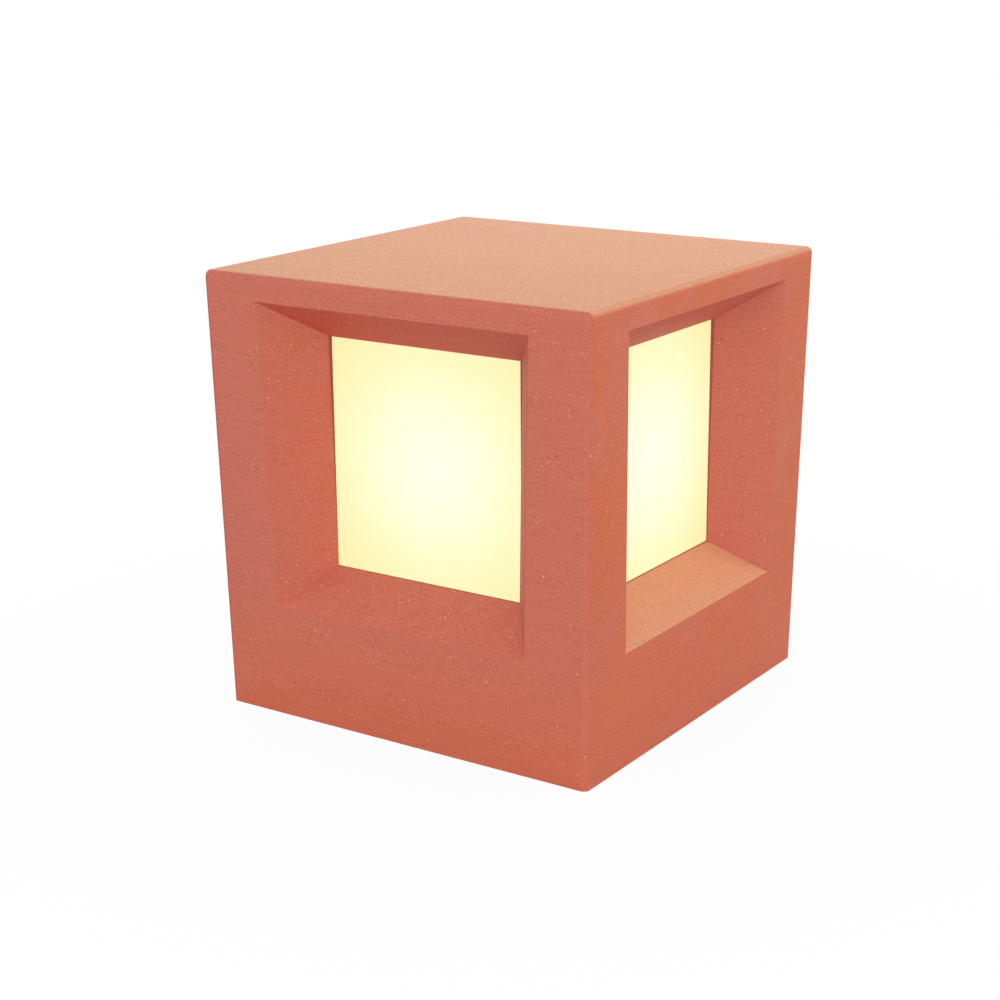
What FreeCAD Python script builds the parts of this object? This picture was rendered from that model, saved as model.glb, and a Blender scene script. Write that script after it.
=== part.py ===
import FreeCAD, Part
import math
import os
import re
import Sketcher

# A cube light for a garden, porch or gate pillar. One cast housing stands on its rim. Each of its four
# walls has a window whose reveal splays inwards to an opal sleeve, and the sleeve is lit by boards on a
# central aluminium column. All of it is carried by a base plate that closes the housing from below.
# Frame: the origin is the middle of the footprint, +Z points up, and the front face looks along -Y.

V = FreeCAD.Vector

doc = FreeCAD.newDocument("cube_light")
sheet = doc.addObject("Spreadsheet::Sheet", "sizes")

# ---------------------------------------------------------------- driving dimensions, in millimetres
SIZES = (
    # housing
    ("roof_width", 200, "across the housing's faces at the roof"),
    ("foot_width", 193, "across the housing's faces at the foot: the walls lean in by one degree"),
    ("height", 203, "foot to roof"),
    ("edge_radius", 3, "rounding of the upright corners and of the roof's edges"),
    ("wall", 3, "thickness of the cast walls"),
    ("roof_wall", 3.5, "thickness of the roof"),
    ("sill", 51.5, "height of the window's lower edge at the face"),
    ("lintel", 12.5, "face left above a window"),
    ("pillar", 30, "face left on each side of a window"),
    ("reveal_depth", 22.5, "face at the foot to the inner end of a reveal"),
    ("pane_half", 50, "half the width of the lit pane"),
    ("pane_sill", 68, "height of the pane's lower edge"),
    ("pane_drop", 29, "roof down to the pane's upper edge"),
    ("reveal_wall", 2.6, "thickness of the splayed reveals, seen square to the face"),
    ("slide_run", 10, "how far the window slides reach past the roof's faces"),
    ("post_edge", 10.5, "face at the foot to the middle of a screw post"),
    ("post_radius", 5.5, "screw posts in the four corners"),
    ("screw_hole", 1.7, "radius of the threaded holes in the posts"),
    ("screw_depth", 14, "depth of those holes"),
    ("ledge", 5, "width of the ledge that the base gasket is pressed against"),
    ("ledge_depth", 3.5, "thickness of that ledge"),
    ("rim_wall", 2.5, "thickness of the rim below the ledge"),
    # base plate and what closes it
    ("plate_recess", 3, "ground to the underside of the base plate"),
    ("plate", 3, "thickness of the base plate"),
    ("gasket", 1.5, "thickness of the pressed base gasket"),
    ("play", 0.4, "room round a piece that drops into another"),
    ("chamber_half", 18, "half the width of the cable chamber, both ways"),
    ("chamber_rise", 30, "height of the cable chamber above the plate's underside"),
    ("fixing_x", 72, "centre of the cube to the fixing holes, along X"),
    ("fixing_y", 30, "centre of the cube to the fixing holes, along Y"),
    ("fixing_radius", 2.5, "radius of the M6 fixing holes"),
    ("fixing_depth", 12, "depth of the fixing holes"),
    ("boss_wall", 3.5, "wall of the bosses round the fixing holes"),
    ("rib", 3, "width and height of the plate's two ribs"),
    ("seat_radius", 7.5, "radius of the seats that the standoffs are screwed into"),
    # cable gland
    ("gland_y", 42, "centre of the cube to the gland's axis, towards the back"),
    ("gland_thread", 8, "radius of the gland's thread"),
    ("gland_wall", 1.8, "wall of the gland's body"),
    ("gland_bore", 3.6, "radius of the gland's rubber seal bore"),
    ("gland_hex", 11, "gland's hexagons, centre to corner"),
    ("gland_flange", 4, "length of the gland body's hexagon"),
    ("gland_neck", 12, "length of the gland's thread under its hexagon"),
    ("thread_over", 1, "how far the gland's thread stands out of its locknut"),
    ("seal_length", 10, "length of the rubber seal"),
    ("nut_gap", 1, "gap between the gland's hexagon and its dome nut"),
    ("dome_height", 6, "height of the nut's dome"),
    ("dome_lip", 1, "how much wider than the seal's bore the dome's mouth is, on the radius"),
    ("dome_wall", 1.5, "wall of the dome at its mouth"),
    ("locknut", 5, "length of the locknut"),
    # gear tray and its carriers
    ("tray_play", 0.5, "room between the gear tray and the screw posts"),
    ("standoff_edge", 14, "edge of the tray to its standoffs"),
    ("standoff_hex", 4.6, "standoff's hexagon, centre to corner"),
    ("standoff", 46, "base plate to the gear tray"),
    ("standoff_thread", 10, "depth of the thread in a standoff's head"),
    ("standoff_bite", 4, "length of the stud on a standoff's foot"),
    ("tray", 2, "thickness of the gear tray"),
    ("tray_screw", 10, "length of the tray's screws"),
    ("lip_depth", 8, "depth of the lips folded down from two edges of the tray"),
    ("lip_end", 24, "corner of the tray to the end of a lip"),
    ("lead_hole", 3.3, "radius of the hole for the leads in the tray"),
    # opal sleeve and its gaskets
    ("window_gasket", 1, "thickness of the window gaskets"),
    ("gasket_rim", 3.5, "width of a window gasket's ring"),
    ("opal", 2.5, "wall of the opal sleeve"),
    ("sleeve_radius", 8, "rounding of the sleeve's upright corners"),
    ("sleeve_gap", 21, "roof down to the sleeve's closed top"),
    ("sleeve_flange", 6, "how far the sleeve's foot flange stands out"),
    ("notch_play", 1, "room round a tray screw's head in the sleeve's corner"),
    # light source
    ("column_half", 18, "half the width of the aluminium column"),
    ("column_wall", 2.5, "wall of the column"),
    ("column_gap", 12, "top of the sleeve down to the column's upper end"),
    ("column_screw", 12, "length of the column's screws"),
    ("port_inset", 4.5, "face of the column to the middle of a screw port"),
    ("port_radius", 3, "outer radius of the screw ports"),
    ("port_hole", 1.25, "radius of the hole in a screw port"),
    ("cap", 2, "thickness of the column's cap"),
    ("cap_depth", 4, "how deep the cap's plug sits in the column"),
    ("board", 1.6, "thickness of a board"),
    ("board_half", 14, "half the width of a board"),
    ("board_rise", 12, "tray to a board's lower end"),
    ("board_end", 6, "column's upper end down to a board's"),
    ("connector", 3.5, "how far a board's connector stands out"),
    ("connector_half", 4, "half the width of a connector"),
    ("connector_height", 4.5, "height of a connector"),
    ("connector_lift", 0.5, "end of the board to its connector"),
    ("chip", 3, "side of a light-emitting chip"),
    ("chip_thickness", 0.8, "thickness of a light-emitting chip"),
    ("chip_reach", 7.2, "middle of a board to each line of chips"),
    ("chip_margin", 9, "end of a board to its first chip"),
    # driver
    ("driver_length", 106, "length of the driver"),
    ("driver_width", 44, "width of the driver"),
    ("driver_height", 26, "height of the driver's case"),
    ("driver_wall", 1.6, "wall of the driver's case"),
    ("driver_lid", 1.6, "thickness of the driver's lid"),
    ("lid_step", 2, "how deep the lid's step sits in the case"),
    ("driver_gap", 0.5, "gap between the driver and the plate's front rib"),
    ("driver_foot", 8, "length of the driver's two feet"),
    ("driver_sole", 3, "thickness of the driver's feet"),
    ("driver_bite", 2.2, "depth of the driver's screws in the plate"),
    # mains side
    ("block_x", 28, "centre of the cube to the terminal block's near end"),
    ("block_y", 24, "centre of the cube to the terminal block's front"),
    ("block_width", 22, "width of the terminal block"),
    ("block_pole", 11, "pitch of the terminal block's three poles"),
    ("block_height", 18, "height of the terminal block"),
    ("well_depth", 8, "depth of the screw wells in the terminal block"),
    ("well_rise", 7.2, "plate to the middle of the block's lead holes"),
    ("lead_well", 6, "depth of those holes"),
    ("terminal_screw", 5, "length of a terminal screw"),
    ("earth_x", 70, "centre of the cube to the earth stud, along X"),
    ("earth_y", 4, "centre of the cube to the earth stud, along Y"),
    ("washer", 2, "thickness of the washer under the earth tag"),
    ("tag", 1, "thickness of the earth tag"),
    ("tag_half", 2, "half the width of the tag's arm"),
    ("tag_length", 12, "length of the tag's arm"),
    ("earth_reach", 4.75, "radius of the washer and the tag's eye, and of the earth nut to its corners"),
    ("earth_nut", 4, "height of the earth nut"),
    ("stud_radius", 2.5, "radius of the earth stud"),
    ("stud_length", 16, "length of the earth stud above the plate"),
    ("lead_radius", 1.2, "radius of a lead"),
    ("lead_bend", 3.6, "radius of a lead's bends, at its middle"),
    ("lead_run", 11, "straight run of a lead at the terminal block and at the driver"),
    ("lead_pitch", 3, "distance between the two leads that feed the boards"),
    ("inlet_x", 30, "centre of the cube to the driver's first mains lead"),
    ("inlet_pitch", 6, "distance between the driver's two mains leads"),
    ("inlet_rise", 11.2, "plate to the driver's mains leads"),
    # vent
    ("vent_x", 50, "centre of the cube to the vent, along X"),
    ("vent_y", 5, "centre of the cube to the vent, along Y"),
    ("vent_radius", 5.8, "radius of the vent's thread"),
    ("vent_wall", 2, "wall of the vent"),
    ("vent_run", 5, "how far the vent's thread stands out above the plate"),
    ("vent_head", 8.5, "radius of the vent's head, and of its nut to the corners"),
    ("vent_cap", 2, "thickness of the vent's head"),
    ("vent_nut", 4, "height of the vent's nut"),
    # screws
    ("bolt_shank", 1.6, "radius of an M4 screw's shank in its thread"),
    ("bolt_head", 3.5, "radius of an M4 screw's head"),
    ("bolt_rise", 2.2, "height of an M4 screw's head"),
    ("bolt_socket", 1.4, "M4 screw's hexagon socket, centre to corner"),
    ("bolt_end", 2, "room left at the end of a threaded hole"),
    ("small_shank", 1.2, "radius of an M3 screw's shank"),
    ("small_head", 2.6, "radius of an M3 screw's head"),
    ("small_rise", 1.6, "height of an M3 screw's head"),
    ("hole_play", 0.5, "how much wider than its screw a clearance hole is, on the radius"),
    ("eye_play", 0.3, "the same for a small screw's hole in a thin piece"),
    ("tap_play", 0.05, "the same for a threaded hole"),
    ("through", 1, "how far a cutter reaches past what it cuts"),
)

NAMES = {name for name, value, meaning in SIZES}

for row, (name, value, meaning) in enumerate(SIZES, start=1):
    sheet.set("A%d" % row, meaning)
    sheet.set("B%d" % row, str(value))
    sheet.setAlias("B%d" % row, name)
doc.recompute()


def spell(formula):
    """Write a formula of plain size names as one that reads them from the sheet."""
    return re.sub(r"[a-z_]\w*", lambda word: ("sizes." if word[0] in NAMES else "") + word[0], formula)


def size(name):
    """The present value of one size."""
    return float(getattr(sheet, name))


def value(formula):
    """A formula's present value."""
    return float(sheet.evalExpression(spell(formula)))


def bind(thing, places):
    """Tie a thing's properties to formulas."""
    for place, formula in places.items():
        thing.setExpression(place, spell(formula))


# Heights and reaches that several pieces share, as formulas of the driving dimensions.
LEAN = "((roof_width - foot_width) / 2 / height)"
HEAD = "(height - lintel)"
PANE_HEAD = "(height - pane_drop)"
PANE_PLANE = "(foot_width / 2 - reveal_depth)"
POST = "(foot_width / 2 - post_edge)"
PLATE_TOP = "(plate_recess + plate)"
LEDGE_FOOT = f"({PLATE_TOP} + gasket)"
LEDGE_TOP = f"({LEDGE_FOOT} + ledge_depth)"
LEDGE_HALF = f"(foot_width / 2 - wall + {LEAN} * {LEDGE_TOP} - ledge)"
PLATE_HALF = "(foot_width / 2 - rim_wall - play)"
CHAMBER_TOP = "(plate_recess + chamber_rise)"
GLAND_FOOT = f"({CHAMBER_TOP} - gland_flange - gland_neck)"
TRAY_FOOT = f"({PLATE_TOP} + standoff)"
TRAY_TOP = f"({TRAY_FOOT} + tray)"
TRAY_HALF = f"({POST} - post_radius - tray_play)"
STANDOFF = f"({TRAY_HALF} - standoff_edge)"
SEAT_TOP = f"({PLATE_TOP} + rib)"
SLEEVE_HALF = f"({PANE_PLANE} - window_gasket)"
SLEEVE_TOP = "(height - sleeve_gap)"
FLANGE_TOP = f"({TRAY_TOP} + opal)"
FLANGE_SCREW = f"({SLEEVE_HALF} + sleeve_flange / 2)"
PORT = "(column_half - port_inset)"
COLUMN_TOP = f"({SLEEVE_TOP} - column_gap)"
BOARD_FACE = "(column_half + board)"
BOARD_FOOT = f"({TRAY_TOP} + board_rise)"
BOARD_LENGTH = f"({COLUMN_TOP} - board_end - {BOARD_FOOT})"
CONNECTOR_FOOT = f"({BOARD_FOOT} + connector_lift)"
LEAD_REACH = f"({BOARD_FACE} + connector / 2)"
DRIVER_PLACE = f"({STANDOFF} - rib / 2 - driver_gap - driver_width / 2)"
DRIVER_TOP = f"({PLATE_TOP} + driver_height + driver_lid)"
DRIVER_EYES = ("-1 * (driver_length - driver_foot) / 2", "(driver_length - driver_foot) / 2")

# Lengths nearer than this are taken for the same.
TOUCH = 0.01


# ---------------------------------------------------------------- ways of making a solid
def base_plane(body, role):
    """One of a body's own base planes or axes."""
    return [part for part in body.Origin.OriginFeatures if part.Role == role][0]


# Half the side of a sketch before its formulas drive it.
START = 50


def outline(body, name, role, lift, low, high, half_low, half_high):
    """Sketch of a four-sided outline that is symmetric about the sketch's upright axis."""
    sketch = body.newObject("Sketcher::SketchObject", name)
    sketch.AttachmentSupport = [(base_plane(body, role), "")]
    sketch.MapMode = "FlatFace"
    bind(sketch, {"AttachmentOffset.Base.z": lift})
    corners = (V(-START, -START), V(START, -START), V(START, START), V(-START, START))
    for place, corner in enumerate(corners):
        sketch.addGeometry(Part.LineSegment(corner, corners[(place + 1) % 4]))
    for place in range(4):
        sketch.addConstraint(Sketcher.Constraint("Coincident", place, 2, (place + 1) % 4, 1))
    sketch.addConstraint(Sketcher.Constraint("Horizontal", 0))
    sketch.addConstraint(Sketcher.Constraint("Horizontal", 2))
    drives = (
        ("left_of_foot", "DistanceX", 0, 1, -START, "-1 * " + half_low),
        ("right_of_foot", "DistanceX", 0, 2, START, half_low),
        ("right_of_head", "DistanceX", 2, 1, START, half_high),
        ("left_of_head", "DistanceX", 2, 2, -START, "-1 * " + half_high),
        ("foot_side", "DistanceY", 0, 1, -START, low),
        ("head_side", "DistanceY", 2, 1, START, high),
    )
    for label, kind, line, point, start, formula in drives:
        number = sketch.addConstraint(Sketcher.Constraint(kind, -1, 1, line, point, start))
        sketch.renameConstraint(number, label)
        bind(sketch, {"Constraints." + label: formula})
    return sketch


def square(body, name, lift, half):
    """Sketch of a square centred on the Z axis, at a height."""
    return outline(body, name, "XY_Plane", lift, "-1 * " + half, half, half, half)


def edges_above(shape, floor):
    """Names of the edges that reach above a height: all of a block's edges but those round its foot."""
    return ["Edge%d" % (number + 1) for number, edge in enumerate(shape.Edges) if edge.BoundBox.ZMax > floor]


def block(name, x, y, z, length, width, height):
    """Box from its lowest corner."""
    piece = doc.addObject("Part::Box", name)
    bind(piece, {"Length": length, "Width": width, "Height": height,
                 "Placement.Base.x": x, "Placement.Base.y": y, "Placement.Base.z": z})
    return piece


def slab(name, half, low, high):
    """Square block centred on the Z axis, between two heights."""
    return block(name, "-1 * " + half, "-1 * " + half, low, "2 * " + half, "2 * " + half,
                 "%s - %s" % (high, low))


def round_slab(name, half, low, high, radius):
    """Square block centred on the Z axis, with rounded upright corners."""
    plain = slab(name + "_square", half, low, high)
    doc.recompute()
    piece = doc.addObject("Part::Fillet", name)
    piece.Base = plain
    piece.Edges = [(number + 1, value(radius), value(radius)) for number, edge in enumerate(plain.Shape.Edges)
                   if edge.BoundBox.XLength + edge.BoundBox.YLength < TOUCH]
    return piece


UP = FreeCAD.Rotation()
INWARDS = FreeCAD.Rotation(V(1, 0, 0), -90)
OUTWARDS = FreeCAD.Rotation(V(1, 0, 0), 90)
DOWN = FreeCAD.Rotation(V(1, 0, 0), 180)


def rod(name, x, y, z, radius, length, way=UP):
    """Cylinder from the middle of one end, pointing a way."""
    piece = doc.addObject("Part::Cylinder", name)
    piece.Placement.Rotation = way
    bind(piece, {"Radius": radius, "Height": length,
                 "Placement.Base.x": x, "Placement.Base.y": y, "Placement.Base.z": z})
    return piece


def hole(name, x, y, foot, radius, depth):
    """Upright cutter right through what starts at a height and is so deep."""
    return rod(name, x, y, foot + " - through", radius, depth + " + 2 * through")


def hexagon(name, x, y, z, reach, length, way=UP):
    """Six-sided bar from the middle of one end, pointing a way; reach is centre to corner."""
    piece = doc.addObject("Part::Prism", name)
    piece.Polygon = 6
    piece.Placement.Rotation = way
    bind(piece, {"Circumradius": reach, "Height": length,
                 "Placement.Base.x": x, "Placement.Base.y": y, "Placement.Base.z": z})
    return piece


def fuse(name, pieces):
    """Join overlapping pieces into one."""
    joined = doc.addObject("Part::MultiFuse", name)
    joined.Shapes = pieces
    joined.Refine = True
    return joined


def cut(name, base, tools):
    """Take one or more tools away from a base."""
    result = doc.addObject("Part::Cut", name)
    result.Base = base
    result.Tool = tools[0] if len(tools) == 1 else fuse(name + "_tools", tools)
    result.Refine = True
    return result


def group(name, pieces):
    """Several separate solids that share a node."""
    together = doc.addObject("Part::Compound", name)
    together.Links = pieces
    return together


def on_each_side(name, piece, turns=(0, 90, 180, 270)):
    """Separate copies of a front piece, turned about the Z axis onto the other sides."""
    front = group(name + "_front", [piece])
    copies = []
    for turn in turns:
        copy = doc.addObject("App::Link", "%s_at_%d" % (name, turn))
        copy.LinkedObject = front
        copy.LinkPlacement = FreeCAD.Placement(V(), FreeCAD.Rotation(V(0, 0, 1), turn))
        copies.append(copy)
    return group(name, copies)


def screw(name, x, y, seat, length, way, kind="bolt"):
    """Pan-head screw: seat is the height of the surface under its head, and way is where it points."""
    shank = rod(name + "_shank", x, y, seat, kind + "_shank", length, way)
    head = rod(name + "_head", x, y, seat, kind + "_head", kind + "_rise", DOWN if way == UP else UP)
    return fuse(name, [head, shank])


QUARTERS = (("front_left", "-1 * ", "-1 * "), ("front_right", "", "-1 * "),
            ("back_right", "", ""), ("back_left", "-1 * ", ""))


def at_corners(name, x, y, make):
    """Make one piece in each quarter of the plan: make takes a name and the signed x and y."""
    return [make("%s_%s" % (name, corner), sign_x + x, sign_y + y) for corner, sign_x, sign_y in QUARTERS]


def four_rods(name, x, y, foot, radius, length):
    """An upright cylinder in each quarter of the plan."""
    return at_corners(name, x, y, lambda label, east, north: rod(label, east, north, foot, radius, length))


def four_holes(name, x, y, foot, radius, depth):
    """The same of cutters that go right through."""
    return at_corners(name, x, y, lambda label, east, north: hole(label, east, north, foot, radius, depth))


# ---------------------------------------------------------------- housing
# Cast in one piece. The block leans in towards its foot. A core of the same lean leaves even walls, and the
# windows' splayed reveals are walls of their own, cast round four tapered slides that point at the middle.
FAR = "(roof_width / 2 + slide_run)"
PANE_MIDDLE = f"((pane_sill + {PANE_HEAD}) / 2)"
FACE = f"(foot_width / 2 + {LEAN} * (sill + {HEAD}) / 2)"
SPLAY = f"(({FAR} - {PANE_PLANE}) / ({FACE} - {PANE_PLANE}))"
PANE_FOOT = f"(pane_half - {LEAN} * {PANE_MIDDLE})"
FAR_FOOT = f"({PANE_FOOT} + (foot_width / 2 - pillar - {PANE_FOOT}) * {SPLAY})"


def slide(name, grown):
    """Four tapered slides from the panes' planes out past the faces, grown all round by a thickness.

    Their sides lean as the corners of the housing do, so that each pillar keeps its width."""
    body = doc.addObject("PartDesign::Body", name)
    far_low = f"(pane_sill + (sill - pane_sill) * {SPLAY} - {grown})"
    far_high = f"({PANE_HEAD} + ({HEAD} - {PANE_HEAD}) * {SPLAY} + {grown})"
    ends = [outline(body, name + "_at_" + end, "XZ_Plane", plane, low, high,
                    f"({foot_half} + {LEAN} * {low} + {grown})", f"({foot_half} + {LEAN} * {high} + {grown})")
            for end, plane, foot_half, low, high in (
                ("pane", PANE_PLANE, PANE_FOOT, f"(pane_sill - {grown})", f"({PANE_HEAD} + {grown})"),
                ("face", FAR, FAR_FOOT, far_low, far_high))]
    taper = body.newObject("PartDesign::AdditiveLoft", name + "_taper")
    taper.Profile = ends[0]
    taper.Sections = [ends[1]]
    taper.Ruled = True
    doc.recompute()
    return on_each_side(name + "s", body)


def leaning(body, name, foot_half, low, high):
    """Square block that widens upwards as the walls do, between two heights."""
    pad = body.newObject("PartDesign::Pad", name)
    pad.Profile = square(body, name + "_outline", low, foot_half)
    bind(pad, {"Length": "%s - %s" % (high, low), "TaperAngle": "atan(%s)" % LEAN})
    doc.recompute()
    return pad


cast = doc.addObject("PartDesign::Body", "housing_block")
solid = leaning(cast, "leaning_block", "(foot_width / 2)", "0", "height")
rounding = cast.newObject("PartDesign::Fillet", "soft_edges")
rounding.Base = (solid, edges_above(solid.Shape, TOUCH))
bind(rounding, {"Radius": "edge_radius"})
windows = slide("window_slide", "0")

core = doc.addObject("PartDesign::Body", "housing_core")
leaning(core, "hollow", f"({LEDGE_HALF} + ledge)", LEDGE_TOP, "(height - roof_wall)")
jackets = slide("jacket_slide", "reveal_wall")

posts = four_rods("post", POST, POST, LEDGE_FOOT, "post_radius", "height")
post_holes = four_rods("post_hole", POST, POST, LEDGE_FOOT, "screw_hole", "screw_depth")
open_core = cut("core_round_posts", core, [jackets] + posts)
throat = slab("ledge_throat", LEDGE_HALF, LEDGE_FOOT, LEDGE_TOP)
open_throat = cut("throat_round_posts", throat, posts)
rim_recess = slab("rim_recess", "(foot_width / 2 - rim_wall)", "0", LEDGE_FOOT)
housing = cut("housing", cast, [windows, open_core, open_throat, rim_recess] + post_holes)

# ---------------------------------------------------------------- base plate
# Die-cast plate that drops into the rim. A box-shaped chamber, open below, takes the supply cable and its
# gland. Four blind bosses take the fixing bolts that come up through what the light stands on, and four
# seats and two ribs carry the gear.
plate = slab("plate_sheet", PLATE_HALF, "plate_recess", PLATE_TOP)
SHELL_HALF = "(chamber_half + wall)"
chamber = block("chamber_shell", "-1 * " + SHELL_HALF, f"gland_y - {SHELL_HALF}", "plate_recess",
                "2 * " + SHELL_HALF, "2 * " + SHELL_HALF, "chamber_rise + wall")
chamber_space = block("chamber_space", "-1 * chamber_half", "gland_y - chamber_half",
                      "plate_recess - through", "2 * chamber_half", "2 * chamber_half",
                      "chamber_rise + through")
fixing_bosses = four_rods("fixing_boss", "fixing_x", "fixing_y", "plate_recess", "fixing_radius + boss_wall",
                          "fixing_depth + boss_wall")
fixing_holes = four_rods("fixing_hole", "fixing_x", "fixing_y", "plate_recess", "fixing_radius",
                         "fixing_depth")
base_screw_holes = four_holes("base_screw_hole", POST, POST, "plate_recess", "bolt_shank + hole_play",
                              "plate + gasket")
gland_hole = hole("gland_hole", "0", "gland_y", CHAMBER_TOP, "gland_thread + play / 2", "wall")
vent_hole = hole("vent_hole", "-1 * vent_x", "vent_y", "plate_recess", "vent_radius + play / 2", "plate")
plate_ribs = [block("plate_rib_" + side, "-1 * " + STANDOFF, y, PLATE_TOP, "2 * " + STANDOFF, "rib", "rib")
              for side, y in (("front", f"-1 * {STANDOFF} - rib / 2"), ("back", f"{STANDOFF} - rib / 2"))]
seats = four_rods("standoff_seat", STANDOFF, STANDOFF, "plate_recess", "seat_radius", "plate + rib")
seat_taps = four_rods("seat_tap", STANDOFF, STANDOFF, f"{SEAT_TOP} - standoff_bite",
                      "bolt_shank + tap_play", "standoff_bite + through")
driver_taps = [rod("driver_tap_%d" % number, x, "-1 * " + DRIVER_PLACE, f"{PLATE_TOP} - driver_bite",
                   "bolt_shank + tap_play", "driver_bite + through")
               for number, x in enumerate(DRIVER_EYES)]
base_plate = cut("base_plate", fuse("plate_raised", [plate, chamber] + fixing_bosses + seats + plate_ribs),
                 [chamber_space, gland_hole, vent_hole] + fixing_holes + base_screw_holes + seat_taps
                 + driver_taps)

# The base gasket is a flat ring with an ear round each screw.
gasket_sheet = slab("gasket_sheet", PLATE_HALF, PLATE_TOP, LEDGE_FOOT)
gasket_space = slab("gasket_space", LEDGE_HALF, PLATE_TOP, LEDGE_FOOT)
gasket_ears = four_rods("gasket_ear", POST, POST, PLATE_TOP, "post_radius", "gasket")
gasket_ring = cut("gasket_ring", gasket_sheet, [gasket_space])
base_gasket = cut("base_gasket", fuse("gasket_with_ears", [gasket_ring] + gasket_ears), base_screw_holes)


def base_screw(name, x, y):
    """Screw with a hexagon socket, up through the plate and the gasket into a post."""
    solid = screw(name + "_solid", x, y, "plate_recess", "plate + gasket + screw_depth - bolt_end", UP)
    socket = hexagon(name + "_socket", x, y, "plate_recess - bolt_rise", "bolt_socket", "bolt_rise / 2")
    return cut(name, solid, [socket])


base_screws = group("base_screws", at_corners("base_screw", POST, POST, base_screw))

# ---------------------------------------------------------------- cable gland and vent
# The gland hangs upright from the chamber's roof, with its locknut on the dry side above it. The dome nut
# presses the rubber seal round the cable, which comes up from below.
gland_core = rod("gland_core", "0", "gland_y", GLAND_FOOT, "gland_thread",
                 "gland_neck + gland_flange + wall + locknut + thread_over")
gland_bar = hexagon("gland_hexagon", "0", "gland_y", f"{CHAMBER_TOP} - gland_flange", "gland_hex",
                    "gland_flange")
gland_space = hole("gland_space", "0", "gland_y", GLAND_FOOT, "gland_thread - gland_wall",
                   "gland_neck + gland_flange + wall + locknut + thread_over")
gland_body = cut("gland_body", fuse("gland_solid", [gland_core, gland_bar]), [gland_space])
gland_seal = cut("gland_seal",
                 rod("seal_solid", "0", "gland_y", GLAND_FOOT, "gland_thread - gland_wall - play / 2",
                     "seal_length"),
                 [hole("seal_bore", "0", "gland_y", GLAND_FOOT, "gland_bore", "seal_length")])
nut_hex = hexagon("gland_nut_hexagon", "0", "gland_y", GLAND_FOOT, "gland_hex", "gland_neck - nut_gap")
nut_dome = doc.addObject("Part::Cone", "gland_nut_dome")
nut_dome.Placement.Rotation = DOWN
bind(nut_dome, {"Radius1": "gland_hex * cos(30) - play", "Radius2": "gland_bore + dome_lip + dome_wall",
                "Height": "dome_height", "Placement.Base.y": "gland_y", "Placement.Base.z": GLAND_FOOT})
nut_space = rod("gland_nut_space", "0", "gland_y", f"{GLAND_FOOT} - play", "gland_thread + play / 2",
                "gland_neck + play")
nut_mouth = hole("gland_nut_mouth", "0", "gland_y", f"{GLAND_FOOT} - dome_height", "gland_bore + dome_lip",
                 "dome_height")
gland_nut = cut("gland_nut", fuse("gland_nut_solid", [nut_hex, nut_dome]), [nut_space, nut_mouth])
gland_locknut = cut("gland_locknut",
                    hexagon("locknut_solid", "0", "gland_y", f"{CHAMBER_TOP} + wall", "gland_hex", "locknut"),
                    [hole("locknut_space", "0", "gland_y", f"{CHAMBER_TOP} + wall", "gland_thread + play / 2",
                          "locknut")])

# The vent lets the housing breathe and is screwed into the plate from below.
vent_stem = rod("vent_stem", "-1 * vent_x", "vent_y", "plate_recess", "vent_radius", "plate + vent_run")
vent_disc = rod("vent_disc", "-1 * vent_x", "vent_y", "plate_recess - vent_cap", "vent_head", "vent_cap")
vent_bore = rod("vent_bore", "-1 * vent_x", "vent_y", "plate_recess", "vent_radius - vent_wall",
                "plate + vent_run + through")
vent_plug = cut("vent_plug", fuse("vent_solid", [vent_stem, vent_disc]), [vent_bore])
vent_bar = hexagon("vent_nut_bar", "-1 * vent_x", "vent_y", PLATE_TOP, "vent_head", "vent_nut")
vent_nut = cut("vent_nut", vent_bar, [
    hole("vent_nut_space", "-1 * vent_x", "vent_y", PLATE_TOP, "vent_radius + play / 2", "vent_nut")])

# ---------------------------------------------------------------- gear tray
# Four standoffs lift the folded tray above the driver, and four screws hold it down.


def tray_standoff(name, x, y):
    """Hexagon bar with a stud on its foot and a thread in its head."""
    bar = hexagon(name + "_bar", x, y, SEAT_TOP, "standoff_hex", "standoff - rib")
    stud = rod(name + "_stud", x, y, f"{SEAT_TOP} - standoff_bite", "bolt_shank", "standoff_bite")
    thread = rod(name + "_thread", x, y, f"{TRAY_FOOT} - standoff_thread", "bolt_shank + tap_play",
                 "standoff_thread + through")
    return cut(name, fuse(name + "_solid", [bar, stud]), [thread])


tray_standoffs = group("tray_standoffs", at_corners("tray_standoff", STANDOFF, STANDOFF, tray_standoff))
tray_sheet = slab("tray_sheet", TRAY_HALF, TRAY_FOOT, TRAY_TOP)
tray_lips = [block("tray_lip_" + side, x, f"lip_end - {TRAY_HALF}", f"{TRAY_FOOT} - lip_depth", "tray",
                   f"2 * ({TRAY_HALF} - lip_end)", "lip_depth + tray")
             for side, x in (("left", "-1 * " + TRAY_HALF), ("right", f"{TRAY_HALF} - tray"))]
tray_holes = four_holes("tray_hole", STANDOFF, STANDOFF, TRAY_FOOT, "bolt_shank + hole_play", "tray")
port_holes = four_holes("tray_port_hole", PORT, PORT, TRAY_FOOT, "small_shank + hole_play", "tray")
lead_hole = hole("tray_lead_hole", "0", "-1 * " + LEAD_REACH, TRAY_FOOT, "lead_hole", "tray")
flange_taps = on_each_side("flange_taps", hole("flange_tap", "0", "-1 * " + FLANGE_SCREW, TRAY_FOOT,
                                               "small_shank + tap_play", "tray"))
gear_tray = cut("gear_tray", fuse("tray_folded", [tray_sheet] + tray_lips),
                tray_holes + port_holes + [lead_hole, flange_taps])
tray_screws = group("tray_screws", at_corners("tray_screw", STANDOFF, STANDOFF, lambda name, x, y: screw(
    name, x, y, TRAY_TOP, "tray_screw", DOWN)))

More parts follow.
